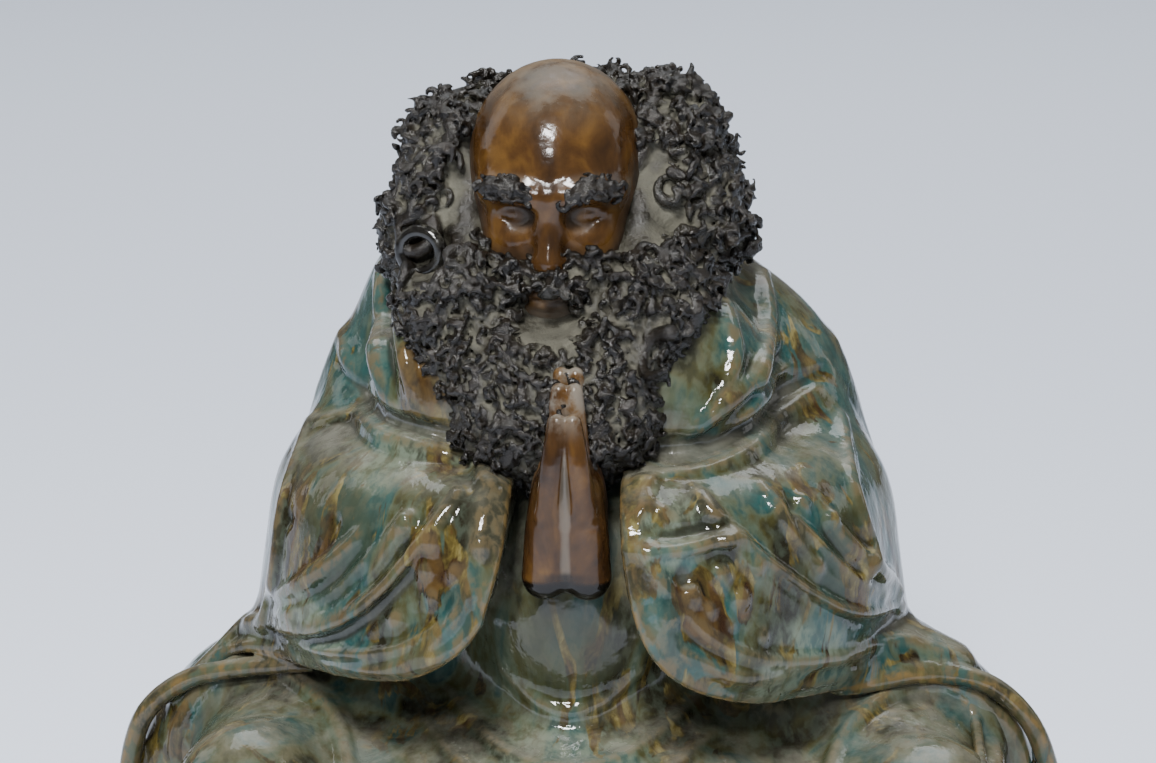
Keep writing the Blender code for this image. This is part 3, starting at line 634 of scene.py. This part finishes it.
def curl_hair(clay, layers, seed, bare):
    """Covers the clay with layers of locks, save where a place is bare."""
    for layer, (gap, size, rod, lift) in enumerate(layers):
        chance = np.random.default_rng(seed + layer)
        places = clay.places(gap, seed + layer)
        places = places[~bare(places)]
        for place, outward in zip(places, clay.slope(places)):
            heading = chance.uniform(0, 2 * math.pi)
            scale = chance.uniform(0.75, 1.2)
            turn = chance.uniform(90, 250) * chance.choice(SIDES)
            rise = lift * chance.uniform(0, 1.3)
            clay.add(lock(place, outward, heading, size * scale, rod * scale, turn, rise), 0.12)
    clay.crumble(0.13, 0.55, seed)


# The hands, the ring and the base


def model_hands():
    """Palms pressed together, fingers up, with the edges of the hands to the front."""
    clay = Clay((-8, -44, 38), (9, -20, 71), HAND_CELL)
    for side in SIDES:
        palm = [(2.35, -33.5, 45.3, 2.7), (2.0, -34, 51, 2.5), (1.4, -34.3, 57, 1.8)]
        clay.add(Roll([(HANDS + side * x, y, z, rod) for x, y, z, rod in palm]), 1.3)
        clay.add(Ball((HANDS + side * 2.2, -31, 51), (2.3, 5, 7.5)), 1.0)
        for n, tip in enumerate((63.5, 66.4, 67.6, 66.4)):
            y = -36 + 2.5 * n
            finger = [(2.0, y + 0.6, 53, 1.5), (1.35, y, 59, 1.35), (0.85, y + 0.5, tip, 0.95)]
            clay.add(Roll([(HANDS + side * x, y, z, rod) for x, y, z, rod in finger]), 0.5)
    return clay


def model_ring():
    """The hoop at one ear, of the same clay, its lower side sunk in the beard."""
    clay = Clay((-22.5, -23, 73), (-12, -13.5, 84.5), HAND_CELL)
    radius = (RING_DIAMETER - RING_ROD) / 2 / SHARE
    a = np.linspace(0, 2 * math.pi, 25)[:, None]
    hoop = np.array(RING) + radius * np.hstack([np.cos(a), -0.35 * np.cos(a), np.sin(a)])
    clay.add(Roll(np.hstack([hoop, np.full_like(a, RING_ROD / 2 / SHARE)]), 1))
    return clay


def part_foot(clay):
    """Ends the glazed figure at z = 0 and returns the bare foot below it, drawn in a little."""
    foot = Clay(LOW, (HIGH[0], HIGH[1], 4), ROBE_CELL)
    z = foot.axes[2][None, None, :]
    level = np.searchsorted(clay.axes[2], 0.8)
    outline = clay.field[:, :, level : level + 1] + BASE_INSET / SHARE
    foot.field = np.maximum(np.maximum(outline, z - 0.5), -BASE_THICKNESS / SHARE - z)
    clay.field = np.maximum(clay.field, -clay.axes[2][None, None, :])
    return foot


# From clay to pieces


def without_crumbs(count, faces):
    """Marks the points of every surface but the very small ones."""
    ends = np.vstack([faces[:, :2], faces[:, 1:3], faces[:, [-1, 0]]])
    label = np.arange(count)
    while True:
        low = np.minimum(label[ends[:, 0]], label[ends[:, 1]])
        fresh = label.copy()
        np.minimum.at(fresh, ends[:, 0], low)
        np.minimum.at(fresh, ends[:, 1], low)
        fresh = fresh[fresh]
        if np.array_equal(fresh, label):
            break
        label = fresh
    size = np.bincount(label)
    return size[label] > 0.05 * size.max()


def make_piece(name, clay, slot, detail=0.0, hems=(), glaze=None):
    """Meshes the clay, smooth, with its hollows and edges kept as attributes for the glaze, its dust and its
    painted shade.
    """
    grid = openvdb.FloatGrid(FAR)
    grid.copyFromArray(np.ascontiguousarray(clay.field))
    points, triangles, quads = grid.convertToPolygons(0.0, adaptivity=detail)
    points = points * clay.cell + np.array([a[0] for a in clay.axes])
    faces = np.vstack([np.column_stack([triangles, triangles[:, -1:]]), quads]) if len(triangles) else quads
    kept = without_crumbs(len(points), faces)
    index = np.cumsum(kept) - 1
    points = points[kept]
    polygons = []
    for group in (triangles, quads):
        if len(group):
            polygons += index[group[kept[group[:, 0]]]].tolist()
    mesh = bpy.data.meshes.new(name)
    metres = points * SHARE + np.array([0, 0, BASE_THICKNESS])
    mesh.from_pydata(metres.tolist(), [], polygons)
    mesh.shade_smooth()
    normals = clay.slope(points)
    count = sum(len(polygon) - 2 for polygon in polygons)
    if count < PIECE_TRIANGLES:
        mesh.normals_split_custom_set_from_vertices(normals.tolist())
    outside = points + 0.3 * clay.cell * normals
    values = {
        "near": clay.sample(outside, clay.fullness(1.2)),
        "broad": whole.sample(points, shade),
    }
    if hems:
        gaps = [Roll(hem, 1).distance(*points.T.astype(np.float32)) for hem in hems]
        values["hem"] = np.min(gaps, axis=0)
    for key, value in values.items():
        mesh.attributes.new(key, "FLOAT", "POINT").data.foreach_set("value", value.astype(np.float32))
    mesh.materials.append(GLAZES[glaze or slot])
    piece = bpy.data.objects.new(name, mesh)
    bpy.context.scene.collection.objects.link(piece)
    if count >= PIECE_TRIANGLES:
        piece.modifiers.new("thin", "DECIMATE").ratio = PIECE_TRIANGLES / count
    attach(piece, "root")
    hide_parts("statue")
    print(name, len(mesh.polygons), "faces")
    return piece


# Glazes


class Glaze:
    """A node material under construction."""

    def __init__(self, name):
        self.material = bpy.data.materials.new(name)
        self.material.use_nodes = True
        self.tree = self.material.node_tree
        self.shader = self.tree.nodes["Principled BSDF"]
        place = self.node("TexCoord").outputs["Object"]
        self.place = self.node("VectorMath", {0: place, "Scale": 1 / SHARE}, operation="SCALE").outputs[0]
        inputs = {0: self.place, 1: (0, 0, BASE_THICKNESS / SHARE)}
        self.place_in_shares = self.node("VectorMath", inputs, operation="SUBTRACT").outputs[0]
        normal = self.node("NewGeometry").outputs["Normal"]
        self.up = self.node("SeparateXYZ", {0: normal}).outputs["Z"]

    def node(self, kind, inputs=(), **settings):
        made = self.tree.nodes.new("ShaderNode" + kind)
        for key, value in settings.items():
            setattr(made, key, value)
        for key, value in dict(inputs).items():
            self.feed(made.inputs[key], value)
        return made

    def feed(self, socket, value):
        if isinstance(value, bpy.types.NodeSocket):
            self.tree.links.new(value, socket)
        else:
            socket.default_value = value

    def attribute(self, name):
        return self.node("Attribute", attribute_name=name).outputs["Fac"]

    def noise(self, scale, detail=4.0, rough=0.55, warp=0.0, stretch=(1, 1, 1), shift=0.0):
        spread = {"Vector": self.place, "Scale": stretch, "Location": (shift,) * 3}
        inputs = {"Scale": scale, "Detail": detail, "Roughness": rough, "Distortion": warp}
        inputs["Vector"] = self.node("Mapping", spread).outputs[0]
        return self.node("TexNoise", inputs).outputs["Fac"]

    def zone(self, *balls):
        """1 within soft-edged balls of (x, y, z, radius), with wandering borders."""
        wander = self.noise(0.18, 3, 0.6, 0.5, (1, 1, 0.6), 23)
        reach = 0.0
        for x, y, z, radius in balls:
            ends = {0: self.place_in_shares, 1: (x, y, z)}
            gap = self.node("VectorMath", ends, operation="DISTANCE").outputs["Value"]
            reach = self.math("MAXIMUM", reach, self.math("SUBTRACT", 1.0, self.math("DIVIDE", gap, radius)))
        return self.between(self.math("ADD", reach, self.math("MULTIPLY", wander, 0.8)), 0.45, 0.75)

    def math(self, how, a, b=0.0, clamp=False):
        return self.node("Math", {0: a, 1: b}, operation=how, use_clamp=clamp).outputs[0]

    def between(self, value, low, high, to_low=0.0, to_high=1.0):
        """Rises smoothly from to_low to to_high as value goes from low to high."""
        inputs = {"Value": value, "From Min": low, "From Max": high, "To Min": to_low, "To Max": to_high}
        return self.node("MapRange", inputs, interpolation_type="SMOOTHSTEP").outputs[0]

    def mix(self, amount, a, b, how="MIX"):
        return self.node("Mix", {0: amount, 6: a, 7: b}, data_type="RGBA", blend_type=how).outputs[2]

    def colours(self, value, *stops):
        """A colour ramp through (position, (r, g, b)) stops."""
        made = self.node("ValToRGB", {0: value})
        band = made.color_ramp.elements
        while len(band) < len(stops):
            band.new(0.5)
        for element, (position, colour) in zip(band, stops):
            element.position = position
            element.color = (*colour, 1)
        return made.outputs[0]

    def finish(self, colour, roughness, bump, depth, **fixed):
        self.feed(self.shader.inputs["Base Color"], colour)
        self.feed(self.shader.inputs["Roughness"], roughness)
        made = self.node("Bump", {"Height": bump, "Distance": depth, "Strength": 1.0})
        self.feed(self.shader.inputs["Normal"], made.outputs[0])
        for key, value in fixed.items():
            self.shader.inputs[key.replace("_", " ")].default_value = value
        return self.material


DUST = (0.215, 0.208, 0.168, 1)


def robe_glaze():
    """Mottled flambe: blue-green and olive runs, amber where it breaks, dust where it lies, painted shade in
    the creases and painted highlights on the ridges.
    """
    g = Glaze("robe_glaze")
    run = g.noise(0.1, 4, 0.5, 0.9, (1.1, 1.1, 0.45))
    teal = g.zone(
        (-26, -5, 68, 12), (14, -38, 40, 9), (22, -12, 70, 10), (33, -25, 33, 12), (-9, -38, 43, 7),
        (41, -30, 14, 12), (-28, -25, 53, 5), (30, 0, 60, 10), (0, 30, 40, 22), (-40, 15, 20, 14),
    )
    warm_zone = g.zone(
        (-30, -22, 47, 9), (-14, -36, 48, 5), (17, -36, 44, 6), (27, -26, 52, 6), (34, -22, 43, 6),
        (17, -22, 63, 5), (-16, -24, 66, 5), (-52, -16, 16, 9), (-36, -34, 14, 8), (14, -30, 24, 6),
        (25, 22, 50, 10), (-20, 26, 56, 9),
    )
    pale = g.zone((-20, -24, 56, 7), (11, -36, 52, 6), (-30, -26, 34, 9), (26, -28, 31, 10), (0, -34, 18, 13))
    run = g.math("ADD", run, g.math("MULTIPLY", g.math("SUBTRACT", teal, 0.35), 0.11))
    cool = g.colours(
        run, (0.38, (0.009, 0.008, 0.003)), (0.45, (0.034, 0.032, 0.009)), (0.50, (0.040, 0.052, 0.030)),
        (0.54, (0.010, 0.034, 0.030)), (0.60, (0.011, 0.048, 0.045)), (0.70, (0.006, 0.020, 0.018)),
    )
    speckle = g.noise(0.8, 5, 0.55, 0.3, (1, 1, 0.6), 11)
    cool = g.mix(g.between(speckle, 0.4, 0.65, 0.0, 0.3), cool, (0.085, 0.11, 0.08, 1))
    milky = g.math("MULTIPLY", pale, g.between(speckle, 0.35, 0.65, 0.15, 0.7))
    cool = g.mix(milky, cool, (0.13, 0.16, 0.115, 1))
    dark = g.zone((-27, -27, 47, 9), (35, -24, 44, 9), (0, -30, 34, 8), (-40, 0, 40, 12))
    cool = g.mix(g.math("MULTIPLY", dark, 0.7), cool, (0.018, 0.022, 0.009, 1))
    patch = g.noise(0.14, 4, 0.55, 1.3, (1.2, 1.2, 0.4), 37)
    patch = g.math("ADD", patch, g.math("MULTIPLY", warm_zone, 0.13))
    warm = g.colours(
        g.noise(0.4, 5, 0.6, 0.6, (1, 1, 0.5), 5),
        (0.38, (0.009, 0.006, 0.002)), (0.48, (0.034, 0.024, 0.006)), (0.56, (0.075, 0.056, 0.013)),
        (0.66, (0.14, 0.115, 0.04)),
    )
    rust = g.colours(
        g.noise(0.5, 4, 0.6, 0.5, (1, 1, 0.5), 9), (0.4, (0.018, 0.008, 0.003)), (0.6, (0.058, 0.033, 0.009)),
    )
    body = g.mix(g.between(patch, 0.565, 0.62), cool, warm)
    body = g.mix(g.between(patch, 0.65, 0.71), body, rust)
    edge = g.between(g.attribute("near"), 0.46, 0.36)
    edge = g.math("MULTIPLY", edge, g.between(speckle, 0.42, 0.6, 0.05, 0.6))
    body = g.mix(edge, body, (0.085, 0.048, 0.014, 1))
    # Painted highlight: convex ridges are paled a little towards grey-green.
    painted_ridge_highlight = g.between(g.attribute("near"), 0.49, 0.42, 0.0, 0.1)
    body = g.mix(painted_ridge_highlight, body, (0.15, 0.165, 0.12, 1))
    # Painted shade: the creases and hollows of the folds are darkened towards near black.
    painted_crease_shade = g.between(g.attribute("near"), 0.515, 0.60, 0.0, 0.85)
    body = g.mix(painted_crease_shade, body, (0.010, 0.012, 0.008, 1))
    hem = g.between(g.attribute("hem"), 0.0, -0.4)
    hem = g.math("MULTIPLY", hem, g.between(speckle, 0.40, 0.58, 0.2, 0.8))
    body = g.mix(hem, body, (0.13, 0.085, 0.03, 1))
    hollow = g.between(g.attribute("broad"), 0.52, 0.74)
    lying = g.between(g.up, 0.62, 1.0, 0.0, 0.85)
    film = g.noise(0.22, 6, 0.65, 0.4, (1, 1, 1), 71)
    dust = g.math("MAXIMUM", g.math("MULTIPLY", hollow, 0.7), lying)
    dust = g.math("MULTIPLY", dust, g.between(film, 0.3, 0.7, 0.15, 1.0))
    colour = g.mix(g.math("MULTIPLY", dust, 0.62), body, DUST)
    roughness = g.between(dust, 0.1, 0.9, 0.07, 0.34)
    waves, grain = g.noise(0.5, 3, 0.45, 0.0, (1, 1, 0.7)), g.noise(3.0, 2, 0.4)
    bump = g.math("ADD", waves, g.math("MULTIPLY", grain, 0.02))
    return g.finish(colour, roughness, bump, 0.0004, IOR=1.41)


def flesh_glaze():
    """Thin amber-brown glaze under a grey film of dust, with painted shade in the hollows and a painted
    shadow along the heels of the hands.
    """
    g = Glaze("flesh_glaze")
    body = g.colours(
        g.noise(0.22, 5, 0.55, 0.4, (1, 1, 0.7)),
        (0.35, (0.021, 0.010, 0.004)), (0.5, (0.046, 0.021, 0.006)), (0.66, (0.088, 0.043, 0.010)),
    )
    # Painted shade: the deep hollows of face and hands are darkened towards near black.
    body = g.mix(g.between(g.attribute("near"), 0.55, 0.68, 0.0, 0.8), body, (0.012, 0.006, 0.003, 1))
    lying = g.between(g.up, 0.35, 1.0)
    hollow = g.between(g.attribute("broad"), 0.54, 0.72)
    film = g.noise(0.3, 6, 0.65, 0.2, (1, 1, 1), 53)
    dust = g.math("MAXIMUM", g.math("MULTIPLY", hollow, 0.2), g.math("MULTIPLY", lying, 0.7))
    dust = g.math("MULTIPLY", dust, g.between(film, 0.3, 0.65, 0.35, 1.0))
    colour = g.mix(g.math("MULTIPLY", dust, 0.42), body, DUST)
    dull = g.between(hollow, 0.0, 0.3, 0.14, 0.5)
    roughness = g.math("MAXIMUM", g.between(dust, 0.05, 0.6, 0.14, 0.55), dull)
    height = g.node("SeparateXYZ", {0: g.place_in_shares}).outputs["Z"]
    below_head = g.between(height, 76, 70)
    seam = g.math("MULTIPLY", g.between(g.attribute("near"), 0.515, 0.57, 0.0, 0.4), below_head)
    tips = g.math("MULTIPLY", g.between(height, 61, 66), below_head)
    tips = g.math("MULTIPLY", tips, g.between(film, 0.42, 0.58, 0.0, 0.75))
    seam = g.math("MAXIMUM", seam, tips)
    colour = g.mix(seam, colour, (0.16, 0.145, 0.12, 1))
    # Painted shadow: a near-black line along the down-facing heels of the hands, where they meet the robe.
    painted_heel_shadow = g.math("MULTIPLY", g.between(g.up, 0.0, -0.14), g.between(height, 46.6, 45.8))
    colour = g.mix(painted_heel_shadow, colour, (0.004, 0.003, 0.002, 1))
    bump = g.math("ADD", g.noise(0.6, 3, 0.45), g.math("MULTIPLY", g.noise(4.0, 2, 0.4), 0.03))
    return g.finish(colour, roughness, bump, 0.0002, IOR=1.38)


def hair_glaze():
    """Black-brown glaze on crisp curls, dust packed between them."""
    g = Glaze("hair_glaze")
    body = g.colours(
        g.noise(0.5, 5, 0.6), (0.35, (0.004, 0.0035, 0.003)), (0.65, (0.013, 0.010, 0.007)),
    )
    packed = g.between(g.attribute("near"), 0.39, 0.59)
    film = g.noise(0.3, 6, 0.65, 0.2, (1, 1, 1), 91)
    dusty = g.zone(
        (-12.5, -14, 84, 6), (9.5, -14, 83, 7.5), (12.5, -16, 76, 5), (-19, -16, 74, 5), (-2, -28, 73, 5),
    )
    film = g.math("ADD", film, g.math("MULTIPLY", dusty, 0.16))
    dust = g.math("MULTIPLY", packed, g.between(film, 0.4, 0.66, 0.4, 1.0))
    settled = g.math("MULTIPLY", dusty, g.between(g.attribute("near"), 0.36, 0.5, 0.1, 0.75))
    dust = g.math("MAXIMUM", dust, settled)
    colour = g.mix(g.math("MULTIPLY", dust, 0.75), body, (0.130, 0.125, 0.095, 1))
    roughness = g.between(dust, 0.05, 0.7, 0.16, 0.8)
    bump = g.noise(2.2, 5, 0.65)
    return g.finish(colour, roughness, bump, 0.0005, IOR=1.42)


def ring_glaze():
    """Smooth black glaze with a breath of dust."""
    g = Glaze("ring_glaze")
    film = g.between(g.noise(0.6, 5, 0.6), 0.45, 0.75, 0.0, 0.35)
    dust = g.math("MULTIPLY", film, g.between(g.up, 0.2, 1.0, 0.2, 1.0))
    colour = g.mix(dust, (0.004, 0.0035, 0.003, 1), DUST)
    return g.finish(colour, g.between(film, 0.0, 0.35, 0.1, 0.3), g.noise(0.8, 3), 0.0001, IOR=1.5)


def bare_clay():
    """Unglazed buff stoneware with iron specks."""
    g = Glaze("bare_clay")
    colour = g.colours(
        g.noise(1.6, 6, 0.7),
        (0.32, (0.16, 0.10, 0.06)), (0.45, (0.36, 0.27, 0.19)), (0.7, (0.46, 0.37, 0.28)),
    )
    return g.finish(colour, 0.85, g.noise(2.5, 6, 0.7), 0.0005)


# Building everything

body = model_body()
mantle = model_mantle(body)
lay_body_folds(body)
lay_mantle_folds(mantle)
body.soften()
mantle.soften()
head, beard, brows, ring, hands = model_head(), model_beard(), model_brows(), model_ring(), model_hands()
side_hair = [model_side_hair(side) for side in SIDES]
mouth = head_ball(0, 16, -10.6, 3.6, 10, 1.9)
clear_of_ring = Ball((RING[0] - 0.6, RING[1] - 3.4, RING[2] + 1.2), (4.6, 6, 4.0))
temples = [Ball((HEAD[0] - 10.0, -14, 83.5), (3.0, 9, 8)), Ball((HEAD[0] + 10.8, -14, 82.5), (4.2, 9, 8.5))]
for clay in (beard, side_hair[0]):
    clay.cut(clear_of_ring, 0.6)


def smooth_skin(points):
    """Whether points lie in the head, by the ring or on a temple, where no lock grows."""
    near_ring = clear_of_ring.distance(*points.T) < 0.8
    on_temple = np.min([temple.distance(*points.T) for temple in temples], axis=0) < 0
    return (head.sample(points) < -1.0) | near_ring | on_temple


curl_hair(beard, BEARD_LOCKS, 4, lambda p: smooth_skin(p) | (mouth.distance(*p.T) < 1.2))
(curl_place,) = beard.settle([BEARD_CURL])
(curl_outward,) = beard.slope(curl_place[None])
beard.add(lock(curl_place, curl_outward, 0.6, 2.7, 1.0, 240, 0.2), 0.2)
curl_hair(brows, BROW_LOCKS, 6, lambda p: head.sample(p) < -0.5)
for side, seed in zip(side_hair, (8, 10)):
    curl_hair(side, SIDE_LOCKS, seed, lambda p: smooth_skin(p) | (beard.sample(p) < -1.5))
foot = part_foot(body)
part_foot(mantle)

whole = Clay(LOW, (HIGH[0], HIGH[1], 104), 0.8)
for other in (body, mantle, head, beard, *side_hair, hands):
    whole.join(other, 0)
shade = whole.fullness(2.6)

GLAZES = {make.__name__: make() for make in (robe_glaze, flesh_glaze, hair_glaze, ring_glaze, bare_clay)}
hems = [[(*p, 0.6) for p in mantle.settle(hem_line(side, hem, 0.25))] for side, hem in zip(SIDES, HEMS)]
hems += [[(x + 0.9 * side, y - 1.0, z, 0.5) for x, y, z, _ in hem] for side, hem in zip(SIDES, LOBE_HEMS)]
make_piece("outer_robe", mantle, "robe_glaze", 0.02, hems)
make_piece("inner_robe", body, "robe_glaze", 0.02, hems)
make_piece("head", head, "flesh_glaze", 0.01)
make_piece("hands", hands, "flesh_glaze", 0.01)
make_piece("beard", beard, "hair_glaze", 0.06)
make_piece("hair_left", side_hair[0], "hair_glaze", 0.06)
make_piece("hair_right", side_hair[1], "hair_glaze", 0.06)
make_piece("brows", brows, "hair_glaze", 0.02)
make_piece("ear_ring", ring, "hair_glaze", glaze="ring_glaze")
make_piece("foot", foot, "bare_clay", 0.3)


# Floor, light and camera

FLOOR = 7.0
CHEST = (0, -0.05, 0.18)
WAIST = (0, 0, 0.15)
FLOOR_WASH = (0, 1.6)
WHITE = (1, 1, 1)
COOL_WHITE = (0.92, 0.96, 1)
ROOM = (0.85, 0.84, 0.82, 1)
ROOM_STRENGTH = 0.34
CAMERA_LENS = 94.7
CAMERA_AZIMUTH = 4
CAMERA_ELEVATION = 14
CAMERA_DISTANCE = 0.95
CAMERA_TARGET = Vector((-0.002, 0, 0.159))


def place_towards(thing, location, target):
    thing.location = location
    thing.rotation_euler = (Vector(target) - Vector(location)).to_track_quat("-Z", "Y").to_euler()
    bpy.context.scene.collection.objects.link(thing)


def soft_light(name, location, target, wide, tall, power, colour=WHITE):
    data = bpy.data.lights.new(name, "AREA")
    data.shape, data.size, data.size_y, data.energy, data.color = "RECTANGLE", wide, tall, power, colour
    place_towards(bpy.data.objects.new(name, data), location, target)


def pale_floor():
    """A plain floor, FLOOR metres each way."""
    points = [(x, y, 0) for x, y in ((-FLOOR, -FLOOR), (FLOOR, -FLOOR), (FLOOR, FLOOR), (-FLOOR, FLOOR))]
    mesh = bpy.data.meshes.new("floor")
    mesh.from_pydata(points, [], [(0, 1, 2, 3)])
    pale = bpy.data.materials.new("pale_floor")
    pale.use_nodes = True
    pale.node_tree.nodes["Principled BSDF"].inputs["Base Color"].default_value = (0.78, 0.84, 0.97, 1)
    pale.node_tree.nodes["Principled BSDF"].inputs["Roughness"].default_value = 0.9
    mesh.materials.append(pale)
    floor = bpy.data.objects.new("floor", mesh)
    bpy.context.scene.collection.objects.link(floor)


pale_floor()
soft_light("key_high", (-0.12, -0.8, 1.05), CHEST, 0.30, 0.19, 22)
soft_light("key_low", (-0.1, -1.05, 0.78), CHEST, 0.20, 0.10, 7)
for side, name in zip(SIDES, ("side_left", "side_right")):
    soft_light(name, (side * 1.4, 0.5, 0.8), WAIST, 0.4, 0.9, 1.5)
soft_light("floor_wash", (*FLOOR_WASH, 3.0), (*FLOOR_WASH, 0), 3.0, 2.4, 98, COOL_WHITE)
world = bpy.data.worlds.new("studio")
world.use_nodes = True
world.node_tree.nodes["Background"].inputs["Color"].default_value = ROOM
world.node_tree.nodes["Background"].inputs["Strength"].default_value = ROOM_STRENGTH
bpy.context.scene.world = world

camera = bpy.data.objects.new("camera", bpy.data.cameras.new("camera"))
camera.data.lens = CAMERA_LENS
azimuth, elevation = math.radians(CAMERA_AZIMUTH), math.radians(CAMERA_ELEVATION)
level = math.cos(elevation)
back = Vector((math.sin(azimuth) * level, -math.cos(azimuth) * level, math.sin(elevation)))
place_towards(camera, CAMERA_TARGET + CAMERA_DISTANCE * back, CAMERA_TARGET)
bpy.context.scene.camera = camera
